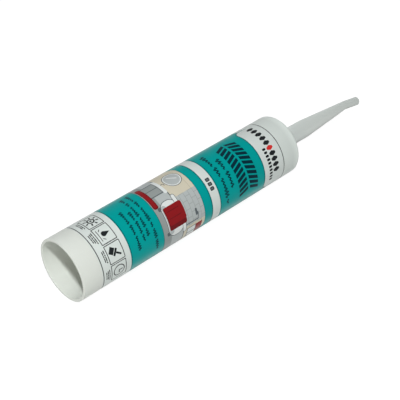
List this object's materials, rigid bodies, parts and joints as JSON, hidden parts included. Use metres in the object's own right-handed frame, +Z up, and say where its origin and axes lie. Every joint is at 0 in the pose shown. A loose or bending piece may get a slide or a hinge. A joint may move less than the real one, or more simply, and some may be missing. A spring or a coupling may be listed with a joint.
{
  "type": "sealant cartridge",
  "caption": "Caulk tube: open-backed plastic barrel with a wrap label, sliding piston, sealant fill and a tapered screw-on nozzle.",
  "frame": {"origin": "on the surface that the tube lies on, under the middle of its whole length", "axes": "+X along the barrel towards the nozzle, +Z up; the open rear faces -X"},
  "size_m": [0.3134, 0.0492, 0.0492],
  "materials": {
    "barrel_plastic": "satin",
    "label_film": "glossy film",
    "piston_plastic": "satin",
    "sealant_paste": "wet paste",
    "nozzle_plastic": "satin translucent"
  },
  "bodies": {
    "barrel": {"barrel": "barrel_plastic", "label": "label_film", "sealant": "sealant_paste"},
    "piston": {"piston": "piston_plastic"},
    "nozzle": {"nozzle": "nozzle_plastic"}
  },
  "joints": [
    {"name": "piston_slide", "type": "slide", "parent": "barrel", "child": "piston", "axis": [1, 0, 0], "range_m": [0, 0.1723], "deforming": ["sealant"]},
    {"name": "nozzle_pull", "type": "slide", "parent": "barrel", "child": "nozzle", "axis": [1, 0, 0], "range_m": [0, 0.022]}
  ]
}
